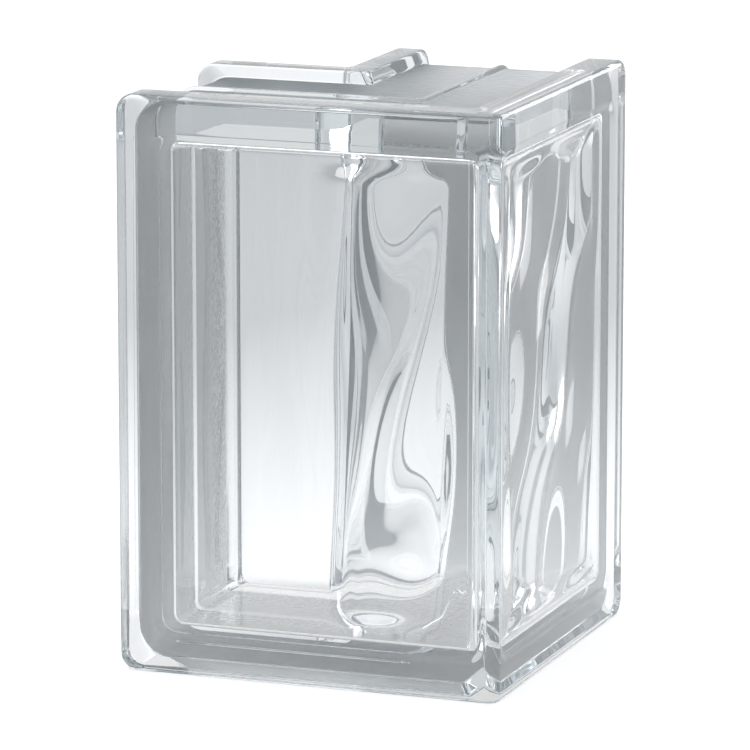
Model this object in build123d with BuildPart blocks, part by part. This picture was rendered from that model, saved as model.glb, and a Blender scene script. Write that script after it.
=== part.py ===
"""A right-angled corner glass block: two legs of hollow clear glass that meet at an outer edge.

Axes: z points up, the outer edge is at +x and -y, the left leg runs towards -x and the right one towards
+y. But for the waves of their panes, the legs are mirror images in the upright plane through the outer
edge and the inner one. The origin is at the middle of the underside of the block's box. Depth means the
distance behind a leg's outer face, inset the distance in from the top, the bottom and the end of a leg,
and along the distance from the outer edge. Lengths are millimetres.
"""

import os
from collections import namedtuple
from math import pi, sin

from build123d import *

os.makedirs("parts", exist_ok=True)

# Overall sizes
LEG = 130.0  # each outer face, from the outer edge to the end of the leg
HEIGHT = 190.0
THICKNESS = 80.0

# Mortar channel, which runs round the top, the two ends and the bottom
OUTER_RIM = 12.0  # width of the flange beside the outer faces
INNER_RIM = 10.0  # width of the flange beside the inner faces
CHANNEL_DEPTH = 4.0
CHANNEL_SLOPE = 2.5  # width of each sloping side
RIM_CORNER = 6.0  # radius of the flanges where they turn the corners of a leg
CHANNEL_CORNER = 9.0  # the same for the channel's floor

# Bead left by the two pressed shells where they were fused, in the middle of the channel's floor
SEAM_WIDTH = 3.6
SEAM_CREST = 1.4
SEAM_HEIGHT = 1.3

# Shallow recess of each outer face, inside a flat border
BORDER = 12.0  # flat border at the top, the bottom and the end
EDGE_BORDER = 4.0  # flat border beside the outer edge
RECESS_DEPTH = 0.8
RECESS_SLOPE = 2.5
RECESS_CORNER = 5.0

# Sealed hollow
PANE = 8.5  # glass between the hollow and an outer or inner face
HOLLOW_INSET = 15.0  # at the top, the bottom and, halfway through the thickness, the ends
END_DRAFT = 1.2  # how much further in the end walls stand where they meet the panes
HOLLOW_CORNER = 4.0  # radius of the hollow's corners seen through a face
HOLLOW_FILLET = 2.5  # radius where the panes meet the walls round them
HOLLOW_OUTER_BEND = 4.0  # radius of the hollow beside the outer edge
HOLLOW_INNER_BEND = 6.0  # radius of the hollow beside the inner edge

# Waves pressed into the inner sides of the panes, with how many there are in a metre along a leg and up it
Wave = namedtuple("Wave", "height along up phase")
LEFT_OUTER_WAVES = (
    Wave(height=1.18, along=17.1, up=1.5, phase=3.12),
    Wave(height=0.5, along=17.6, up=9.4, phase=1.23),
    Wave(height=1.05, along=0.0, up=3.7, phase=6.28),
)
RIGHT_OUTER_WAVES = (
    Wave(height=1.6, along=13.9, up=-6.2, phase=4.5),
    Wave(height=0.7, along=13.3, up=9.1, phase=1.37),
)
LEFT_INNER_WAVES = (Wave(height=0.25, along=16.7, up=-8.3, phase=2.1),)
RIGHT_INNER_WAVES = (
    Wave(height=0.9, along=16.7, up=-8.3, phase=3.0),
    Wave(height=0.4, along=13.3, up=9.1, phase=5.1),
)
LEFT_OUTER_REACH = 66.0  # how far along the left leg the waves of its outer pane reach
REACH_FADE = 16.0  # width over which they end there
WAVE_MARGIN = 1.0  # flat strip inside the rounded borders of a pane
WAVE_FADE = 7.5  # width over which the waves rise from that strip

# Fire-polished edges
OUTER_EDGE_RADIUS = 4.0
INNER_EDGE_RADIUS = 2.0
RIM_EDGE_RADIUS = 1.5

METRE = 1000.0
TINY = 1e-4
NEAR = 0.05  # how closely a waved surface follows its flat border
OVERRUN = 30.0  # how far a section runs past the mitre before it is cut off there
WAVE_ROWS = 48  # steps up a waved surface between the points that it is laid through
OUTER_COLUMNS = 33  # the same along the leg, for an outer pane
INNER_COLUMNS = 17  # and for an inner pane
WAVE_FIT = 0.01  # how closely it is laid through them
WAVE_OVERRUN = 12.0  # how far a waved surface, and the space it cuts, run past the hollow
SEAM = THICKNESS / 2
MITRE = Plane(origin=(0, 0, 0), x_dir=(0, 0, 1), z_dir=(1, 1, 0))


def depth_of(point):
    """How far a point is behind the nearer outer face."""
    return min(point.Y + LEG / 2, LEG / 2 - point.X)


def inset_of(point):
    """How far a point is in from the nearest of the top, the bottom and the ends."""
    return min(HEIGHT - point.Z, point.Z, point.X + LEG / 2, LEG / 2 - point.Y)


def keeps_depth(edge, depths, within=TINY):
    """Whether an edge stays at one of the given depths from end to end."""
    points = [edge.position_at(share) for share in (0, 0.5, 1)]
    return any(all(abs(depth_of(point) - depth) < within for point in points) for depth in depths)


def upright_edge(part, x, y):
    """The upright edge of a part that is nearest to a place in plan."""
    upright = part.edges().filter_by(lambda edge: abs(edge.tangent_at(0.5).Z) > 1 - NEAR)
    return upright.sort_by_distance((x, y, HEIGHT / 2))[0]


def leg_outline(depth, inset, radius, edge_inset=None):
    """Rounded outline of the leg towards -x, upright at a depth, past the mitre unless edge_inset ends it."""
    left = inset - LEG / 2
    right = LEG / 2 + OVERRUN if edge_inset is None else LEG / 2 - edge_inset
    upright = Plane(origin=(0, depth - LEG / 2, HEIGHT / 2), x_dir=(1, 0, 0), z_dir=(0, -1, 0))
    with BuildSketch(upright) as outline:
        with Locations(((left + right) / 2, 0)):
            RectangleRounded(right - left, HEIGHT - 2 * inset, radius)
    return outline.sketch


def leg_body():
    """One leg up to the mitre: flanges, channel and seam bead, as outlines set one behind another."""
    crest_inset = CHANNEL_DEPTH - SEAM_HEIGHT
    sections = (
        (0, 0, RIM_CORNER),
        (OUTER_RIM, 0, RIM_CORNER),
        (OUTER_RIM + CHANNEL_SLOPE, CHANNEL_DEPTH, CHANNEL_CORNER),
        (SEAM - SEAM_WIDTH / 2, CHANNEL_DEPTH, CHANNEL_CORNER),
        (SEAM - SEAM_CREST / 2, crest_inset, CHANNEL_CORNER + SEAM_HEIGHT),
        (SEAM + SEAM_CREST / 2, crest_inset, CHANNEL_CORNER + SEAM_HEIGHT),
        (SEAM + SEAM_WIDTH / 2, CHANNEL_DEPTH, CHANNEL_CORNER),
        (THICKNESS - INNER_RIM - CHANNEL_SLOPE, CHANNEL_DEPTH, CHANNEL_CORNER),
        (THICKNESS - INNER_RIM, 0, RIM_CORNER),
        (THICKNESS, 0, RIM_CORNER),
    )
    with BuildPart() as leg:
        for depth, inset, radius in sections:
            add(leg_outline(depth, inset, radius))
        loft(ruled=True)
        split(bisect_by=MITRE, keep=Keep.BOTTOM)
    return leg.part


def recess():
    """What is pressed out of one outer face, a shallow tray with sloping sides."""
    floor_border = BORDER + RECESS_SLOPE
    with BuildPart() as tray:
        add(leg_outline(0, BORDER, RECESS_CORNER + RECESS_SLOPE, EDGE_BORDER))
        add(leg_outline(RECESS_DEPTH, floor_border, RECESS_CORNER, EDGE_BORDER + RECESS_SLOPE))
        loft(ruled=True)
    return tray.part


def smooth_step(share):
    """0 before 0, 1 after 1, and 3 s squared less 2 s cubed between."""
    share = min(max(share, 0.0), 1.0)
    return share * share * (3 - 2 * share)


def wave_height(waves, reach, along, up):
    """The waves of a pane added up, at a distance from the outer edge and a height."""
    total = sum(w.height * sin(2 * pi * (along * w.along + up * w.up) / METRE + w.phase) for w in waves)
    return total * smooth_step((reach - along) / REACH_FADE)


def waved_glass(waves, depth, bend, side, reach=LEG + REACH_FADE):
    """Glass of one pane of the leg towards -x, from its waved inner side outwards.

    depth is that of the pane's flat border, bend the radius of the hollow beside its upright edge, side is 1
    for the outer pane and -1 for the inner one, and reach is where along the leg the waves have ended.
    """
    low = HOLLOW_INSET + HOLLOW_FILLET + WAVE_MARGIN
    nearest = depth + bend + WAVE_MARGIN
    farthest = LEG - END_DRAFT - low
    start, stop = depth - WAVE_OVERRUN, LEG - HOLLOW_INSET + WAVE_OVERRUN
    columns = OUTER_COLUMNS if side > 0 else INNER_COLUMNS
    points = []
    for row in range(WAVE_ROWS + 1):
        up = HEIGHT * row / WAVE_ROWS
        line = []
        for column in range(columns + 1):
            along = start + (stop - start) * column / columns
            insides = (along - nearest, farthest - along, up - low, HEIGHT - low - up)
            height = wave_height(waves, reach, along, up)
            for inside in insides:
                height *= smooth_step(inside / WAVE_FADE)
            line.append((LEG / 2 - along, depth + side * height - LEG / 2, up))
        points.append(line)
    inner_side = Face.make_surface_from_array_of_points(points, tol=WAVE_FIT, min_deg=3, max_deg=3)
    with BuildPart() as glass:
        extrude(to_extrude=inner_side, amount=THICKNESS, dir=(0, -side, 0))
    return glass.part


def hollow():
    """The sealed space, an upright L with drafted ends, waved panes and rounded edges."""
    near = PANE - LEG / 2
    far = THICKNESS - PANE - LEG / 2
    end = HOLLOW_INSET - LEG / 2
    drafted = end + END_DRAFT * (1 + WAVE_OVERRUN / (SEAM - PANE))
    one_leg = [(drafted, far + WAVE_OVERRUN), (end, SEAM - LEG / 2), (drafted, near - WAVE_OVERRUN)]
    other_leg = [(-y, -x) for x, y in reversed(one_leg)]
    inner_depth = THICKNESS - PANE
    left_outer = waved_glass(LEFT_OUTER_WAVES, PANE, HOLLOW_OUTER_BEND, 1, LEFT_OUTER_REACH)
    right_outer = mirror(waved_glass(RIGHT_OUTER_WAVES, PANE, HOLLOW_OUTER_BEND, 1), about=MITRE)
    left_inner = waved_glass(LEFT_INNER_WAVES, inner_depth, HOLLOW_INNER_BEND, -1)
    right_inner = mirror(waved_glass(RIGHT_INNER_WAVES, inner_depth, HOLLOW_INNER_BEND, -1), about=MITRE)
    notch_side = left_inner & right_inner
    with BuildPart() as space:
        with BuildSketch(Plane.XY.offset(HOLLOW_INSET)):
            with BuildLine():
                outer_corner = (WAVE_OVERRUN - near, near - WAVE_OVERRUN)
                inner_corner = (-WAVE_OVERRUN - far, far + WAVE_OVERRUN)
                Polyline(*one_leg, outer_corner, *other_leg, inner_corner, close=True)
            make_face()
        extrude(amount=HEIGHT - 2 * HOLLOW_INSET)
        for glass in (left_outer, right_outer, notch_side):
            add(glass, mode=Mode.SUBTRACT)
        fillet(upright_edge(space, -near, near), HOLLOW_OUTER_BEND)
        fillet(upright_edge(space, -far, far), HOLLOW_INNER_BEND)
        level = [edge for edge in space.edges() if abs(edge.tangent_at(0.5).Z) < TINY]
        at_ends = [e for e in level if min(e.center().X, -e.center().Y) + LEG / 2 < HOLLOW_INSET + END_DRAFT]
        walls_only = [e for e in at_ends if PANE + NEAR < depth_of(e.center()) < inner_depth - NEAR]
        fillet(walls_only, HOLLOW_CORNER)
        loops = [e for e in space.edges() if keeps_depth(e, (PANE, inner_depth), NEAR)]
        fillet(loops, HOLLOW_FILLET)
    return space.part


def rim_edges(part):
    """The edges that the flanges share with the outer and inner faces."""
    near_rim = [edge for edge in part.edges() if inset_of(edge.center()) < RIM_CORNER / 2]
    return [edge for edge in near_rim if keeps_depth(edge, (0, THICKNESS))]


left_leg = leg_body()
left_tray = recess()
sealed_space = hollow()

with BuildPart() as block:
    add(left_leg)
    mirror(left_leg, about=MITRE)
    add(left_tray, mode=Mode.SUBTRACT)
    mirror(left_tray, about=MITRE, mode=Mode.SUBTRACT)
    fillet(upright_edge(block, LEG / 2, -LEG / 2), OUTER_EDGE_RADIUS)
    fillet(upright_edge(block, LEG / 2 - THICKNESS, THICKNESS - LEG / 2), INNER_EDGE_RADIUS)
    fillet(rim_edges(block), RIM_EDGE_RADIUS)
    add(sealed_space, mode=Mode.SUBTRACT)

block.part.label = "glass_block"
export_step(block.part, "parts/glass_block.step")
print("glass_block", round(block.part.volume), "mm3", block.part.bounding_box().size)
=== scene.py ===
# %% [markdown]
# # A corner glass block in a white studio
# The block is one body of clear pressed glass. Its two legs meet at a right angle, each leg is hollow, and
# a mortar channel runs round the edges. A imported model of it already exists, with its exact place and size.
# The finished surfaces could be fitted to that model by eye, but it is safer to load it and to measure it,
# so the first cell loads it and keeps its box, and the overall sizes of the block are read from that box.

# %% Load the frame
import math
from collections import namedtuple

import bmesh
import bpy
import numpy as np
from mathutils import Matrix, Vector


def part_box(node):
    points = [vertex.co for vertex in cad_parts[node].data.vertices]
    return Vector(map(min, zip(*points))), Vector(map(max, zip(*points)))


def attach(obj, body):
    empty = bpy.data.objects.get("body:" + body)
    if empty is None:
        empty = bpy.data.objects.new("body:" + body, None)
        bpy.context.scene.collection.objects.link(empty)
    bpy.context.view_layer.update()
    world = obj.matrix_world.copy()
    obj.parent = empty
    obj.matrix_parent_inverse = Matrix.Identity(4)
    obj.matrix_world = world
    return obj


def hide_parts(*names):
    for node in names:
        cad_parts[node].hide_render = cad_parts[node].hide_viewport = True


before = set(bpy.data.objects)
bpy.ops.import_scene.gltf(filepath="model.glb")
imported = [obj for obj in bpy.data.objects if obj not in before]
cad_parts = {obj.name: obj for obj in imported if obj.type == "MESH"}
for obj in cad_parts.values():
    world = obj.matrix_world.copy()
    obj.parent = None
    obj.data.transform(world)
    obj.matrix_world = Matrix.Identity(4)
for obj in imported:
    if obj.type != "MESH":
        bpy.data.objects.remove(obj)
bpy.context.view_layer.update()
block_low, block_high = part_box("glass_block")
print("box of the block, m:", [round(v, 4) for v in (*block_low, *block_high)])

# %% [markdown]
# ## Sizes
# All sizes are those of the solid, in millimetres, and each has a name that says what it is on the block.
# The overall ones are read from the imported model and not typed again. Depth means the distance behind an
# outer face, inset the distance in from the top, the bottom and a leg's end, and along the distance from
# the outer edge, where the two outer faces meet.

# %% Sizes of the block
MM = 0.001
LEG = (block_high[0] - block_low[0]) / MM  # each outer face, from the outer edge to the end of the leg
HEIGHT = (block_high[2] - block_low[2]) / MM
THICKNESS = 80.0
SEAM = THICKNESS / 2  # depth of the seam between the two pressed shells
OUTER_RIM, INNER_RIM = 12.0, 10.0  # widths of the flanges beside the channel
CHANNEL_DEPTH, CHANNEL_SLOPE = 4.0, 2.5
RIM_CORNER, CHANNEL_CORNER = 6.0, 9.0
SEAM_HALF_WIDTH, SEAM_HALF_CREST, SEAM_HEIGHT = 1.8, 0.7, 1.3
BORDER, EDGE_BORDER = 12.0, 4.0  # flat border round the recess of an outer face
RECESS_DEPTH, RECESS_SLOPE, RECESS_CORNER = 0.8, 2.5, 5.0
PANE, HOLLOW_INSET, END_DRAFT = 8.5, 15.0, 1.2
HOLLOW_CORNER, HOLLOW_FILLET = 4.0, 2.5
HOLLOW_OUTER_BEND, HOLLOW_INNER_BEND = 4.0, 6.0
OUTER_EDGE_RADIUS, INNER_EDGE_RADIUS, RIM_EDGE_RADIUS = 4.0, 2.0, 1.5
print("leg", round(LEG, 2), "height", round(HEIGHT, 2), "mm")

# %% [markdown]
# ## How the surface is laid out
# The rim of a leg is the same section carried round three sides. It could be made from boxes with Boolean
# and Bevel modifiers, but glass shows every stray edge and every uneven face, so the points are worked out
# here in even rows. A row is the path seen from the outer face: along the top from the mitre, round a
# corner, down the end, round a corner and back along the bottom. The first cell has two small helpers for
# such rows.

# %% Rows of points
Steps = namedtuple("Steps", "plan top corner end")
OUTSIDE = Steps(plan=5, top=24, corner=8, end=32)  # in the bend, along the top, in a corner and down the end


def spread(start, stop, steps, closed=False):
    """Evenly spaced values from start, with stop itself left out unless closed."""
    return np.linspace(start, stop, steps + 1)[None, : steps + closed]


def rows(along, depth, height):
    """Three broadcast arrays stacked into points of (along, depth, height)."""
    return np.stack(np.broadcast_arrays(along, depth, height), -1)


print("a row of 4:", spread(0, 1, 4)[0], "and closed:", spread(0, 1, 4, closed=True)[0])

# %% [markdown]
# At each depth behind the outer face the outline is a little smaller or larger, which gives the channel and
# the seam bead. Beside the mitre the path turns an eighth of a circle in plan, so that the two legs meet in
# a rounded edge and not in a crease.

# %% The path round one leg
def ribbon(profile, bends, steps):
    """Leg outline for each (depth, inset, end inset, corner) of a profile, as (profile, path, 3) points.

    Straight runs are linear between their ends, and corners are quarter circles of the corner radius.
    Beside the mitre the path is an eighth of a circle in plan. bends gives its radius at some depths, and
    it is read off on straight lines between them.
    """
    depth, inset, end_inset, corner = (column[:, None] for column in np.asarray(profile, float).T)
    bend = np.interp(depth, *zip(*bends))
    turn = spread(math.pi / 4, 0, steps.plan)
    arc = spread(0, math.pi / 2, steps.corner)
    centre, last, high = depth + bend, LEG - end_inset - corner, HEIGHT - inset
    run = spread(0, 1, steps.top + steps.corner // 2)
    fall = spread(0, 1, steps.end, closed=True)
    upper = np.concatenate([
        rows(centre - bend * np.sin(turn), centre - bend * np.cos(turn), high),
        rows(centre + (last - centre) * run, depth, high),
        rows(last + corner * np.sin(arc), depth, high - corner * (1 - np.cos(arc))),
    ], axis=1)
    drop = HEIGHT - 2 * (high - corner)
    middle = rows(LEG - end_inset, depth, high - corner + drop * fall)
    lower = upper[:, ::-1] * (1, 1, -1) + (0, 0, HEIGHT)
    return np.concatenate([upper, middle, lower], axis=1)


trial = ribbon([(0, 0, 0, RIM_CORNER)], [(0, OUTER_EDGE_RADIUS)], OUTSIDE)
print("points on a plain outline:", trial.shape[1])

# %% [markdown]
# A flat side, such as an outer face, is a loop with its inside filled. A single many-sided face would be
# simpler, but it shades badly where it meets rounded edges, so rings of quads lead inwards from the rim.
# Every loop starts in the corner at the top beside the outer edge and has as many points as the path, so
# that loops join up into rings.

# %% Loops of a flat side
def ring(depth, inset, edge_inset, corner, steps):
    """Loop of a rectangle with quarter-circle corners, on the flat side at a depth."""
    half = steps.corner // 2
    left, right = LEG - inset - corner, edge_inset + corner
    arc, eighth = spread(0, math.pi / 2, steps.corner), spread(math.pi / 4, math.pi / 2, half)
    high = HEIGHT - inset - corner
    first = rows(right - corner * np.cos(eighth), depth, high + corner * np.sin(eighth))
    top = rows(right + (left - right) * spread(0, 1, steps.top), depth, high + corner)
    turn = rows(left + corner * np.sin(arc), depth, high + corner * np.cos(arc))
    upper = np.concatenate([first, top, turn], axis=1)[0]
    fall = spread(0, 1, steps.end, closed=True)
    down = rows(LEG - inset, depth, high + (HEIGHT - 2 * high) * fall)[0]
    lower = upper[::-1] * (1, 1, -1) + (0, 0, HEIGHT)
    rest = spread(math.pi / 4, 0, half)
    last = rows(right - corner * np.cos(rest), depth, high + corner * np.sin(rest))[0]
    up = rows(edge_inset, depth, HEIGHT - high + (2 * high - HEIGHT) * fall)[0]
    return np.concatenate([upper, down, lower, last[1:] * (1, 1, -1) + (0, 0, HEIGHT), up, last[:0:-1]])


def boundary(row, steps):
    """The same loop from one row of a ribbon, closed by a straight line beside the outer edge."""
    path = row[steps.plan : len(row) - steps.plan]
    side = np.linspace(path[-1], path[0], steps.end + steps.corner + 1)
    return np.concatenate([path, side[1:-1]])


trial = ring(0, BORDER, EDGE_BORDER, RECESS_CORNER, OUTSIDE)
print("points in a loop:", len(trial))

# %% [markdown]
# Inside the last ring the face is a grid, and each of its points is blended from the loop's four sides. The
# blend is that of Coons: the two straight blends added, less the blend of the four corner points. It keeps
# the sides exactly, which a plain Grid Fill would also do, but here the points come out evenly every time.

# %% Filling a loop
def fill(loop, steps):
    """Grid inside a loop: across blend plus down blend, less the blend of the corner points."""
    width, height = steps.top + steps.corner, steps.end + steps.corner
    closed = np.concatenate([loop, loop[:1]])
    stops = np.cumsum([0, width, height, width, height])
    top, left, bottom, right = (closed[start : stop + 1] for start, stop in zip(stops, stops[1:]))
    top, right = top[::-1], right[::-1]
    s, t = np.linspace(0, 1, width + 1)[None, :, None], np.linspace(0, 1, height + 1)[:, None, None]
    across = (1 - t) * top[None] + t * bottom[None]
    down = (1 - s) * left[:, None] + s * right[:, None]
    corners = (1 - t) * ((1 - s) * top[0] + s * top[-1]) + t * ((1 - s) * bottom[0] + s * bottom[-1])
    return across + down - corners


def edge_strip(row, steps):
    """The rounded strip between a flat side and the mitre, from the first points of a ribbon's row."""
    upper = row[: steps.plan + 1]
    share = np.linspace(0, 1, steps.end + steps.corner + 1)[None, :, None]
    return upper[:, None] + share * ((upper * (1, 1, -1) + (0, 0, HEIGHT))[:, None] - upper[:, None])


print("grid in that loop:", fill(trial, OUTSIDE).shape)

# %% [markdown]
# ## From grids to a mesh
# The grids of one leg serve both legs, once as they are and once with along and depth exchanged. A Mirror
# modifier would do the same on the outside, but the panes of the two legs have different waves, so it is
# done on the points. Points that fall on one another are merged here.

# %% Weld the grids
SAME_DIGITS = 4  # points that agree to so many digits of a millimetre are one point


def welded(grids):
    """Vertices and quads of a list of (rows, columns, 3) grids, with equal points merged."""
    points, quads, count = [], [], 0
    for grid in grids:
        index = np.arange(grid.shape[0] * grid.shape[1]).reshape(grid.shape[:2]) + count
        around = [index[:-1, :-1], index[1:, :-1], index[1:, 1:], index[:-1, 1:]]
        quads.append(np.stack(around, -1).reshape(-1, 4))
        points.append(grid.reshape(-1, 3))
        count += index.size
    points, quads = np.concatenate(points), np.concatenate(quads)
    near = np.round(points, SAME_DIGITS)
    _, first, merged = np.unique(near, axis=0, return_index=True, return_inverse=True)
    return points[first], merged.reshape(-1)[quads]


square = rows(np.arange(2.0)[None, :], np.arange(2.0)[:, None], 0)
print("two squares side by side keep", len(welded([square, square + (1, 0, 0)])[0]), "of 8 points")

# %% [markdown]
# The block has two closed skins: the outside, whose faces look out, and the hollow, whose faces look into
# the hollow. For glass this matters more than for anything else, because light bends by which side it comes
# from. Recalculating the normals makes them agree, and the sign of the volume that they enclose tells which
# way they look.

# %% Make a closed shell
SHORTEST_EDGE = 1e-7  # m


def both_legs(left, right):
    """Block coordinates, in millimetres, of the left leg's grids and of the right leg's, axes exchanged."""
    half = LEG / 2
    first = [np.stack([half - g[..., 0], g[..., 1] - half, g[..., 2]], -1) for g in left]
    second = [np.stack([half - g[..., 1], g[..., 0] - half, g[..., 2]], -1) for g in right]
    return first + second


def shell(name, left, right, outward):
    """Closed mesh of both legs, whose faces look out of the enclosed space or into it."""
    points, quads = welded(both_legs(left, right))
    mesh = bpy.data.meshes.new(name)
    mesh.from_pydata((points * MM).tolist(), [], quads.tolist())
    work = bmesh.new()
    work.from_mesh(mesh)
    bmesh.ops.dissolve_degenerate(work, dist=SHORTEST_EDGE, edges=work.edges)
    bmesh.ops.recalc_face_normals(work, faces=work.faces)
    volume = work.calc_volume(signed=True)
    if (volume > 0) != outward:
        bmesh.ops.reverse_faces(work, faces=work.faces)
    open_edges = sum(not edge.is_manifold for edge in work.edges)
    work.to_mesh(mesh)
    work.free()
    mesh.shade_smooth()
    print(name, len(mesh.polygons), "faces", round(abs(volume) / MM**3), "mm3", open_edges, "open edges")
    return mesh


# %% [markdown]
# ## The outside
# The section of the rim runs from the outer face over its rounded edge, along the flange, down into the
# channel, over the seam bead and out again. Its corners are softened, because hot glass never keeps a sharp
# corner. A Bevel modifier could do it, but its width stops at the shortest edge nearby. Here each corner is
# replaced by a parabola between points a little way along its two sides.

# %% Soften the corners of a section
def softened(points, reach, steps=4):
    """Polyline whose inner corners are parabolas that start and end at most reach before and after them.

    A parabola takes less than half of the shorter side, so that two of them never meet.
    """
    points = np.asarray(points, float)
    before, here, after = points[:-2], points[1:-1], points[2:]
    back, ahead = before - here, after - here
    size = np.minimum(np.linalg.norm(back[:, :2], axis=1), np.linalg.norm(ahead[:, :2], axis=1))
    size = np.minimum(reach, 0.45 * size)[:, None]
    start = here + back / np.linalg.norm(back[:, :2], axis=1)[:, None] * size
    stop = here + ahead / np.linalg.norm(ahead[:, :2], axis=1)[:, None] * size
    t = np.linspace(0, 1, steps + 1)[None, :, None]
    curve = (1 - t) ** 2 * start[:, None] + 2 * t * (1 - t) * here[:, None] + t**2 * stop[:, None]
    return np.concatenate([points[:1], curve.reshape(-1, 3), points[-1:]])


SOFT_REACH = 0.9
crest = (CHANNEL_DEPTH - SEAM_HEIGHT, CHANNEL_CORNER + SEAM_HEIGHT)
floor = (CHANNEL_DEPTH, CHANNEL_CORNER)
channel = softened([
    (RIM_EDGE_RADIUS, 0, RIM_CORNER),
    (OUTER_RIM, 0, RIM_CORNER),
    (OUTER_RIM + CHANNEL_SLOPE, *floor),
    (SEAM - SEAM_HALF_WIDTH, *floor),
    (SEAM - SEAM_HALF_CREST, *crest),
    (SEAM + SEAM_HALF_CREST, *crest),
    (SEAM + SEAM_HALF_WIDTH, *floor),
    (THICKNESS - INNER_RIM - CHANNEL_SLOPE, *floor),
    (THICKNESS - INNER_RIM, 0, RIM_CORNER),
    (THICKNESS - RIM_EDGE_RADIUS, 0, RIM_CORNER),
], reach=SOFT_REACH)
print("points across the channel:", len(channel))

# %% [markdown]
# The rounded edges of the flanges and a first loop on each flat face are added before and after the
# channel, and the whole section is carried along the path. At the outer and the inner edge of the block the
# bend has the radius that the polished edges have there.

# %% Carry the section along the path
def edge_round(radius, corner, steps=5):
    """Quarter circle from a flat face to the flange, as (depth, inset, corner), depth and inset from 0."""
    turn = np.linspace(0, math.pi / 2, steps + 1)
    inset = radius * (1 - np.sin(turn))
    return np.stack([radius * (1 - np.cos(turn)), inset, corner - inset], -1)


FACE_LOOP = (6.5, 10.0)  # inset and corner of the loop where the face's own rings take over
EDGE_LOOP = (RIM_EDGE_RADIUS + 0.8, RIM_CORNER - RIM_EDGE_RADIUS)  # the same for the loop beside the round
front = edge_round(RIM_EDGE_RADIUS, RIM_CORNER)
back = front[::-1] * (-1, 1, 1) + (THICKNESS, 0, 0)
lead = [(0, *FACE_LOOP), (0, *EDGE_LOOP)]
tail = [(THICKNESS, *EDGE_LOOP), (THICKNESS, *FACE_LOOP)]
outline = np.concatenate([lead, front, channel[1:-1], back, tail])
outline = outline[:, (0, 1, 1, 2)]
outer_bends = [
    (0, OUTER_EDGE_RADIUS), (RIM_EDGE_RADIUS, OUTER_EDGE_RADIUS - RIM_EDGE_RADIUS),
    (THICKNESS - RIM_EDGE_RADIUS, INNER_EDGE_RADIUS + RIM_EDGE_RADIUS), (THICKNESS, INNER_EDGE_RADIUS),
]
outer_ribbon = ribbon(outline, outer_bends, OUTSIDE)
print("profile points", len(outline), "path points", outer_ribbon.shape[1])

# %% [markdown]
# Each outer face has a shallow recess inside a flat border, which catches a fine line of light all round.
# It is a tray with soft sides. It could be a bump, but its edge bends the light that goes through, so it is
# in the mesh. Its depth follows a smooth step over a band a little wider than the slope.

# %% Outer faces with their recess
def smooth_step(share):
    """0 before 0, 1 after 1, and 3 s squared less 2 s cubed between."""
    share = np.clip(share, 0, 1)
    return share * share * (3 - 2 * share)


SOFT = 0.6  # how far the rounding of the slope reaches past it
TRAY_LOOPS = 10
SUPPORT_INSET, SUPPORT_CORNER = 1.0, 4.0  # of the loop just inside the tray's side, for a flat floor
offsets = np.linspace(-SOFT, RECESS_SLOPE + SOFT, TRAY_LOOPS)
tray_depth = RECESS_DEPTH * smooth_step((offsets + SOFT) / (RECESS_SLOPE + 2 * SOFT))
tray = [
    ring(depth, BORDER + offset, EDGE_BORDER + offset, RECESS_CORNER + RECESS_SLOPE - offset, OUTSIDE)
    for depth, offset in zip(tray_depth, offsets)
]
inside = offsets[-1] + SUPPORT_INSET
support = ring(RECESS_DEPTH, BORDER + inside, EDGE_BORDER + inside, SUPPORT_CORNER, OUTSIDE)
face_loops = np.array([boundary(outer_ribbon[0], OUTSIDE), *tray, support])
face_grid = np.concatenate([face_loops, face_loops[:, :1]], axis=1)
inner_loop = boundary(outer_ribbon[-1], OUTSIDE)
leg_grids = [
    outer_ribbon,
    face_grid, fill(support, OUTSIDE), edge_strip(outer_ribbon[0], OUTSIDE),
    fill(inner_loop, OUTSIDE), edge_strip(outer_ribbon[-1], OUTSIDE),
]
outside = shell("outside", leg_grids, leg_grids, outward=True)

# %% [markdown]
# ## The hollow
# The waves pressed into the inner sides of the panes are what makes the block glitter. They could be a bump
# or a Displace modifier with a noise, but they are long smooth swells, and the lines that the photo shows
# through the front pane are the edges behind it, bent by them. A few sine waves, added up, give such
# swells, and each pane has its own.

# %% The waves of the panes
FADE_START, FADE = 1.0, 7.5  # where the relief starts inside a border, and the width over which it rises
REACH, REACH_FADE = 66.0, 16.0  # where the left outer pane's waves have ended, and over what width
Wave = namedtuple("Wave", "height along up phase")
LEFT_OUTER = (
    Wave(height=1.18, along=17.1, up=1.5, phase=3.12),
    Wave(height=0.5, along=17.6, up=9.4, phase=1.23),
    Wave(height=1.05, along=0.0, up=3.7, phase=6.28),
)
RIGHT_OUTER = (
    Wave(height=1.6, along=13.9, up=-6.2, phase=4.5),
    Wave(height=0.7, along=13.3, up=9.1, phase=1.37),
)
LEFT_INNER = (Wave(height=0.25, along=16.7, up=-8.3, phase=2.1),)
RIGHT_INNER = (
    Wave(height=0.9, along=16.7, up=-8.3, phase=3.0),
    Wave(height=0.4, along=13.3, up=9.1, phase=5.1),
)


def wave_height(waves, reach, along, up):
    """Height of a pane's relief in millimetres.

    It is the sum of height times the sine of two pi times the waves gone by, plus the phase. A wave's along
    and up are how many of it there are in a metre each way. A smooth step ends the sum where along is reach.
    """
    total = sum(w.height * np.sin(2 * math.pi * (along * w.along + up * w.up) * MM + w.phase) for w in waves)
    return total * smooth_step((reach - along) / REACH_FADE)


print("relief 50 mm along and 100 mm up, mm:", round(float(wave_height(LEFT_OUTER, REACH, 50.0, 100.0)), 2))

# %% [markdown]
# The relief fades out before the walls and the bends, so that each pane stays joined to them without a
# step. The fade is the product of four smooth steps, one for each border of the pane.

# %% Lay the relief on a pane
def faded(distance):
    """Share of the relief's height at a distance inside a border of the pane: a smooth step over FADE."""
    return smooth_step((distance - FADE_START) / FADE)


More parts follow.
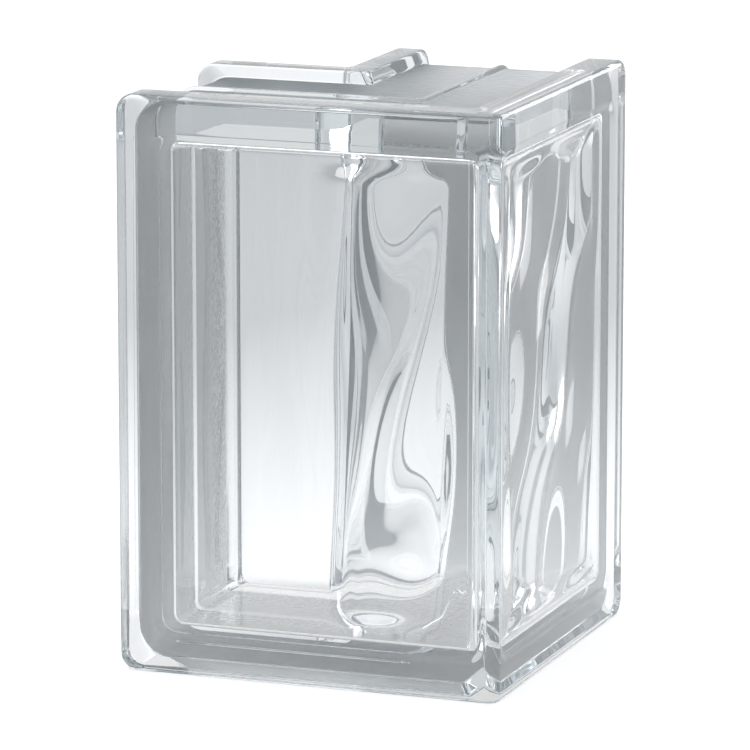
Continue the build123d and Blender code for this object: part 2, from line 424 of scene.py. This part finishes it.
def relief(grid, low_along, side, waves, reach=math.inf):
    """A pane's grid with the relief added to its depth, faded towards each of its four borders."""
    along, height = grid[..., 0], grid[..., 2]
    high_along = LEG - HOLLOW_INSET - END_DRAFT - HOLLOW_FILLET
    low, high = HOLLOW_INSET + HOLLOW_FILLET, HEIGHT - HOLLOW_INSET - HOLLOW_FILLET
    share = faded(along - low_along) * faded(high_along - along) * faded(height - low) * faded(high - height)
    lifted = grid.copy()
    lifted[..., 1] += side * wave_height(waves, reach, along, height) * share
    return lifted


print("share of the relief 0, 4 and 9 mm inside a border:", np.round(faded(np.array([0.0, 4.0, 9.0])), 2))

# %% [markdown]
# The walls round the hollow are made as the rim was, with a section carried along a path. The ends are
# drafted, which means that they lean a little, as a plunger has to come out of the mould. They stand
# nearest to the leg's end halfway through the thickness, where the two shells were fused.

# %% Walls of the hollow
INSIDE = Steps(plan=8, top=84, corner=8, end=126)
WALL_ROWS = 9
round_off = edge_round(HOLLOW_FILLET, HOLLOW_CORNER) + (0, HOLLOW_INSET, 0)
near = round_off + (PANE, 0, 0)
far = near[::-1] * (-1, 1, 1) + (THICKNESS, 0, 0)
middle = np.linspace(near[-1], far[0], WALL_ROWS)[1:-1]
walls = np.concatenate([near, middle, far])
draft = END_DRAFT * np.abs(walls[:, 0] - SEAM) / (SEAM - PANE)
walls = np.stack([walls[:, 0], walls[:, 1], walls[:, 1] + draft, walls[:, 2]], -1)
inner_bends = [
    (PANE, HOLLOW_OUTER_BEND), (PANE + HOLLOW_FILLET, HOLLOW_OUTER_BEND - HOLLOW_FILLET),
    (THICKNESS - PANE - HOLLOW_FILLET, HOLLOW_INNER_BEND + HOLLOW_FILLET),
    (THICKNESS - PANE, HOLLOW_INNER_BEND),
]
inner_ribbon = ribbon(walls, inner_bends, INSIDE)
print("rows in the walls", len(walls), "path points", inner_ribbon.shape[1])

# %% [markdown]
# A leg of the hollow is its walls, its outer pane, its inner pane and the rounded strips beside the mitre.
# The panes need the finest grid of the whole block, because a facet that is too large shows as a row of
# small squares in a steep wave.

# %% The hollow of both legs
def hollow_grids(outer, inner, reach=math.inf):
    """Grids of the hollow in one leg, with the relief of its outer and of its inner pane."""
    outer_pane = fill(boundary(inner_ribbon[0], INSIDE), INSIDE)
    inner_pane = fill(boundary(inner_ribbon[-1], INSIDE), INSIDE)
    return [
        inner_ribbon,
        relief(outer_pane, PANE + HOLLOW_OUTER_BEND, 1, outer, reach),
        edge_strip(inner_ribbon[0], INSIDE),
        relief(inner_pane, THICKNESS - PANE + HOLLOW_INNER_BEND, -1, inner),
        edge_strip(inner_ribbon[-1], INSIDE),
    ]


left_hollow = hollow_grids(LEFT_OUTER, LEFT_INNER, REACH)
right_hollow = hollow_grids(RIGHT_OUTER, RIGHT_INNER)
hollow = shell("hollow", left_hollow, right_hollow, outward=False)

# %% [markdown]
# ## One piece of glass
# The outside and the hollow are two closed skins of the same body, so they are joined into one object. Two
# objects would also render, but then the glass between them would belong to neither. The new block takes
# the place of the imported one, which stays in the scene, hidden.

# %% Join the two skins
body = bmesh.new()
body.from_mesh(outside)
body.from_mesh(hollow)
glass_mesh = bpy.data.meshes.new("clear_corner_block")
body.to_mesh(glass_mesh)
body.free()
glass_mesh.shade_smooth()
glass_block = bpy.data.objects.new("clear_corner_block", glass_mesh)
bpy.context.scene.collection.objects.link(glass_block)
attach(glass_block, "root")
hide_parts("glass_block")
print("triangles", sum(len(p.vertices) - 2 for p in glass_mesh.polygons))

# %% [markdown]
# ## Marks of the mould
# Pressed glass is never a perfect mirror. Two things show up close: very low, soft ripples where the
# cooling skin shrank in the mould, and a faint haze in patches. Both finishes of the block share them, so
# they are one node group with its own inputs. A bump is enough for the ripples, which are about a hundredth
# of a millimetre high on the glass and a tenth on its coat. Everything larger than that is in the mesh.

# %% A node group for ripples and haze
MOULD_RIPPLE = 0.00001  # height of the ripples, m
GROUP_INPUTS = (
    ("Place", "NodeSocketVector", None), ("Ripple Scale", "NodeSocketFloat", 60.0),
    ("Smoothest", "NodeSocketFloat", 0.0), ("Roughest", "NodeSocketFloat", 0.03),
)


def pressed_skin():
    """Group from a place on the surface to a ripple height and a haze, each a noise with its own scale.

    Height is a noise of the ripple scale. Haze runs straight from the smoothest to the roughest value while
    a broad noise runs from 0.35 to 0.75.
    """
    group = bpy.data.node_groups.new("pressed_skin", "ShaderNodeTree")
    for label, kind, start in GROUP_INPUTS:
        socket = group.interface.new_socket(label, in_out="INPUT", socket_type=kind)
        if start is not None:
            socket.default_value = start
    group.interface.new_socket("Height", in_out="OUTPUT", socket_type="NodeSocketFloat")
    group.interface.new_socket("Haze", in_out="OUTPUT", socket_type="NodeSocketFloat")
    into, out = group.nodes.new("NodeGroupInput"), group.nodes.new("NodeGroupOutput")
    ripple = group.nodes.new("ShaderNodeTexNoise")
    ripple.inputs["Detail"].default_value = 1.0
    ripple.inputs["Roughness"].default_value = 0.35
    patches = group.nodes.new("ShaderNodeTexNoise")
    patches.inputs["Scale"].default_value = 22.0
    patches.inputs["Detail"].default_value = 3.0
    haze = group.nodes.new("ShaderNodeMapRange")
    haze.inputs["From Min"].default_value = 0.35
    haze.inputs["From Max"].default_value = 0.75
    group.links.new(into.outputs["Place"], ripple.inputs["Vector"])
    group.links.new(into.outputs["Ripple Scale"], ripple.inputs["Scale"])
    group.links.new(into.outputs["Place"], patches.inputs["Vector"])
    group.links.new(patches.outputs["Fac"], haze.inputs["Value"])
    group.links.new(into.outputs["Smoothest"], haze.inputs["To Min"])
    group.links.new(into.outputs["Roughest"], haze.inputs["To Max"])
    group.links.new(ripple.outputs["Fac"], out.inputs["Height"])
    group.links.new(haze.outputs["Result"], out.inputs["Haze"])
    return group


skin = pressed_skin()
print("group", skin.name, [socket.name for socket in skin.interface.items_tree])

# %% [markdown]
# ## Glass and the coat of its edges
# The block is clear glass with a faint cool tint. A coloured surface would tint thin and thick glass alike,
# so the tint comes from absorption along the way through the glass, and thick flanges look deeper than thin
# panes. The floor of the mortar channel carries a milky coat that mortar grips, so that the edges of the
# block glow evenly and hide what lies behind them. It is a finish of the same body, so it is a second
# material on some of the faces and not a piece of its own.

# %% The two materials
GLASS_IOR = 1.52
GLASS_TINT, TINT_DENSITY = (0.46, 0.54, 0.575, 1), 4.5


def block_glass(name, colour, ripple_height, ripple_scale, smoothest, roughest):
    """Glass with the ripples and haze of the pressed skin, and an absorbing inside."""
    material = bpy.data.materials.new(name)
    material.use_nodes = True
    nodes, links = material.node_tree.nodes, material.node_tree.links
    shader = nodes["Principled BSDF"]
    shader.inputs["Base Color"].default_value = colour
    shader.inputs["IOR"].default_value = GLASS_IOR
    shader.inputs["Transmission Weight"].default_value = 1.0
    where = nodes.new("ShaderNodeTexCoord")
    marks = nodes.new("ShaderNodeGroup")
    marks.node_tree = skin
    marks.inputs["Ripple Scale"].default_value = ripple_scale
    marks.inputs["Smoothest"].default_value = smoothest
    marks.inputs["Roughest"].default_value = roughest
    bump = nodes.new("ShaderNodeBump")
    bump.inputs["Strength"].default_value = 1.0
    bump.inputs["Distance"].default_value = ripple_height
    absorption = nodes.new("ShaderNodeVolumeAbsorption")
    absorption.inputs["Color"].default_value = GLASS_TINT
    absorption.inputs["Density"].default_value = TINT_DENSITY
    links.new(where.outputs["Object"], marks.inputs["Place"])
    links.new(marks.outputs["Height"], bump.inputs["Height"])
    links.new(marks.outputs["Haze"], shader.inputs["Roughness"])
    links.new(bump.outputs["Normal"], shader.inputs["Normal"])
    links.new(absorption.outputs["Volume"], nodes["Material Output"].inputs["Volume"])
    return material


glass = block_glass(
    "clear_glass", (0.995, 0.998, 1.0, 1),
    ripple_height=MOULD_RIPPLE, ripple_scale=70.0, smoothest=0.0, roughest=0.03,
)
edge_coat = block_glass(
    "milky_edge_coat", (0.985, 0.99, 0.99, 1),
    ripple_height=12 * MOULD_RIPPLE, ripple_scale=400.0, smoothest=0.7, roughest=0.9,
)
glass_mesh.materials.append(glass)
glass_mesh.materials.append(edge_coat)
print("materials", [material.name for material in glass_mesh.materials])

# %% [markdown]
# The coat lies on the floor of the channel. The sloping sides of the channel and the seam bead stay bare,
# and show as clear lines beside the coat. Which faces are coated could be picked by hand in Edit Mode. Here
# it follows from where their middles are: how deep behind the outer face, and how far in from the top, the
# bottom and the ends.

# %% Which faces carry the coat
count = len(glass_mesh.polygons)
centres = np.empty(count * 3)
glass_mesh.polygons.foreach_get("center", centres)
centres = centres.reshape(-1, 3) / MM
depth = np.minimum(centres[:, 1] + LEG / 2, LEG / 2 - centres[:, 0])
inset = np.min([
    HEIGHT - centres[:, 2], centres[:, 2], centres[:, 0] + LEG / 2, LEG / 2 - centres[:, 1],
], axis=0)
coated = (depth > OUTER_RIM + CHANNEL_SLOPE) & (depth < THICKNESS - INNER_RIM - CHANNEL_SLOPE)
coated &= (np.abs(depth - SEAM) > SEAM_HALF_WIDTH) & (inset < HOLLOW_INSET - CHANNEL_DEPTH)
glass_mesh.polygons.foreach_set("material_index", coated.astype(np.int32))
print("coated faces", int(coated.sum()), "of", count)

# %% [markdown]
# ## Studio
# Glass shows what stands round it, so the studio is half of its look. The photo's background is plain
# white. It could be had by turning up the lamps, but then the block would burn out too. So the floor glows,
# and the Light Path node decides how much: rays straight from the camera see white, rays that have gone
# through the glass or bounced off it see from a dim to a bright level, and the light that falls on things
# isn't changed.

# %% How much the background glows
def seen_white(nodes, links, direct, dim, bright, painted_glow_pool):
    """Strength of the glow: direct for camera rays, plus dim to bright by a painted pool of light for rays
    from the glass.
    """
    path = nodes.new("ShaderNodeLightPath")
    through = nodes.new("ShaderNodeMath")
    through.operation = "MAXIMUM"
    links.new(path.outputs["Is Glossy Ray"], through.inputs[0])
    links.new(path.outputs["Is Transmission Ray"], through.inputs[1])
    level = nodes.new("ShaderNodeMapRange")
    level.inputs["To Min"].default_value = dim
    level.inputs["To Max"].default_value = bright
    links.new(painted_glow_pool, level.inputs["Value"])
    scaled = nodes.new("ShaderNodeMath")
    scaled.operation = "MULTIPLY"
    links.new(through.outputs["Value"], scaled.inputs[0])
    links.new(level.outputs["Result"], scaled.inputs[1])
    total = nodes.new("ShaderNodeMath")
    total.operation = "MULTIPLY_ADD"
    total.inputs[1].default_value = direct
    links.new(path.outputs["Is Camera Ray"], total.inputs[0])
    links.new(scaled.outputs["Value"], total.inputs[2])
    print("glow", direct, "direct,", dim, "to", bright, "through the glass")
    return total.outputs["Value"]


# %% [markdown]
# A round gradient in its material is a painted pool of light: the glow that rays from the glass see is
# brightest a little way behind the block, and the panes look down on it, so that they run from grey at the
# top to white at the bottom as in the photo. The floor still takes the block's soft shadow.

# %% Floor
FLOOR_HALF = 6.0  # m
FLOOR_GREY = 0.6
GLOW_PLACE, GLOW_RADIUS = (-0.04, 0.1, 0), 0.45  # m
DIRECT, DIM, BRIGHT = 0.62, 0.05, 0.62  # strengths of the glow
floor_mesh = bpy.data.meshes.new("studio_floor")
corners = [(x * FLOOR_HALF, y * FLOOR_HALF, 0) for x, y in ((-1, -1), (1, -1), (1, 1), (-1, 1))]
floor_mesh.from_pydata(corners, [], [(0, 1, 2, 3)])
studio_floor = bpy.data.objects.new("studio_floor", floor_mesh)
bpy.context.scene.collection.objects.link(studio_floor)
floor_paint = bpy.data.materials.new("pale_floor")
floor_paint.use_nodes = True
nodes, links = floor_paint.node_tree.nodes, floor_paint.node_tree.links
paint = nodes["Principled BSDF"]
paint.inputs["Base Color"].default_value = (FLOOR_GREY, FLOOR_GREY, FLOOR_GREY, 1)
paint.inputs["Roughness"].default_value = 0.8
paint.inputs["Specular IOR Level"].default_value = 0.0
paint.inputs["Emission Color"].default_value = (1, 1, 1, 1)
where = nodes.new("ShaderNodeTexCoord")
place = nodes.new("ShaderNodeMapping")
place.vector_type = "TEXTURE"
place.inputs["Location"].default_value = GLOW_PLACE
place.inputs["Scale"].default_value = (GLOW_RADIUS, GLOW_RADIUS, 1)
# painted pool of light: a round glow on the floor, seen only by rays that come from the glass
painted_glow_pool = nodes.new("ShaderNodeTexGradient")
painted_glow_pool.gradient_type = "SPHERICAL"
links.new(where.outputs["Object"], place.inputs["Vector"])
links.new(place.outputs["Vector"], painted_glow_pool.inputs["Vector"])
glow = seen_white(nodes, links, DIRECT, DIM, BRIGHT, painted_glow_pool.outputs["Fac"])
links.new(glow, paint.inputs["Emission Strength"])
floor_mesh.materials.append(floor_paint)
print("floor", 2 * FLOOR_HALF, "m square")

# %% [markdown]
# The world is the room: a cool light grey all round, and a little lighter beyond the block. It could be an
# image of a real studio, but a dot product with one direction and a colour ramp are enough for a plain one.
# The camera itself sees the world as plain white.

# %% World
ROOM_GREY, BEYOND_GREY = (0.62, 0.655, 0.69, 1), (0.85, 0.85, 0.85, 1)
BEYOND = (-0.34, 0.92, -0.1)  # direction of the lighter side
RAMP_START, RAMP_STOP = 0.6, 0.85
world = bpy.data.worlds.new("studio")
bpy.context.scene.world = world
world.use_nodes = True
nodes, links = world.node_tree.nodes, world.node_tree.links
background = nodes["Background"]
coords = nodes.new("ShaderNodeTexCoord")
toward = nodes.new("ShaderNodeVectorMath")
toward.operation = "DOT_PRODUCT"
toward.inputs[1].default_value = BEYOND
links.new(coords.outputs["Generated"], toward.inputs[0])
ramp = nodes.new("ShaderNodeValToRGB")
ramp.color_ramp.elements[0].position = RAMP_START
ramp.color_ramp.elements[0].color = ROOM_GREY
ramp.color_ramp.elements[1].position = RAMP_STOP
ramp.color_ramp.elements[1].color = BEYOND_GREY
links.new(toward.outputs["Value"], ramp.inputs["Fac"])
path = nodes.new("ShaderNodeLightPath")
seen = nodes.new("ShaderNodeMix")
seen.data_type = "RGBA"
seen.inputs["B"].default_value = (1, 1, 1, 1)
links.new(path.outputs["Is Camera Ray"], seen.inputs["Factor"])
links.new(ramp.outputs["Color"], seen.inputs["A"])
links.new(seen.outputs["Result"], background.inputs["Color"])
print("world", world.name, "from", ROOM_GREY[:3], "to", BEYOND_GREY[:3])

# %% [markdown]
# Two soft boxes light the block: a large square one above and to the left, and a small upright one behind
# on the right, which gives the white lines along the rims. Point lamps would give hard sparkles in the
# waves.

# %% Lamps
MIDDLE = Vector((0, 0, 0.1))  # what the lamps are turned towards


def soft_box(name, size, energy, place):
    """Rectangular area lamp at a place, turned towards the middle of the block."""
    data = bpy.data.lights.new(name, "AREA")
    data.shape = "RECTANGLE"
    data.size, data.size_y = size
    data.energy = energy
    lamp = bpy.data.objects.new(name, data)
    bpy.context.scene.collection.objects.link(lamp)
    lamp.location = place
    lamp.rotation_euler = (MIDDLE - lamp.location).to_track_quat("-Z", "Y").to_euler()
    print(name, energy, "W,", round((MIDDLE - lamp.location).length, 2), "m away")


soft_box("soft_box", size=(2.0, 2.0), energy=18, place=(-0.5, -0.3, 2.0))
soft_box("side_box", size=(0.6, 1.2), energy=8, place=(0.75, 1.3, 0.4))

# %% [markdown]
# ## Camera
# The photo was taken with a long lens from the front right, a little above the block. Its place could be
# found by trial, but the corners of the block in the photo and the known size fix it: the upright lines
# nearly stay parallel, which asks for a long lens far away.

# %% Camera
AZIMUTH, ELEVATION, DISTANCE, LENS = 20.34, 11.7, 1.8349, 271.2  # degrees, degrees, m and mm
TARGET = Vector((0.0091, -0.0253, 0.0957))
azimuth, elevation = math.radians(AZIMUTH), math.radians(ELEVATION)
outwards = Vector((
    math.sin(azimuth) * math.cos(elevation), -math.cos(azimuth) * math.cos(elevation), math.sin(elevation)
))
camera_data = bpy.data.cameras.new("camera")
camera_data.lens = LENS
camera_data.clip_end = 50
camera = bpy.data.objects.new("camera", camera_data)
bpy.context.scene.collection.objects.link(camera)
camera.location = TARGET + outwards * DISTANCE
camera.rotation_euler = (-outwards).to_track_quat("-Z", "Y").to_euler()
bpy.context.scene.camera = camera
print("camera at", [round(v, 3) for v in camera.location], "m")

# %% [markdown]
# The Standard view shows each colour as it is written. Light crosses four panes and bounces many times
# inside the flanges, so the limits on bounces are raised. With the usual limits such paths end early and
# stay dark.

# %% Colour and light paths
BOUNCES, GLOSSY_BOUNCES = 32, 16
scene = bpy.context.scene
scene.view_settings.view_transform = "Standard"
scene.cycles.max_bounces = BOUNCES
scene.cycles.transmission_bounces = BOUNCES
scene.cycles.glossy_bounces = GLOSSY_BOUNCES
print("bounces", BOUNCES, "of which glossy", GLOSSY_BOUNCES)
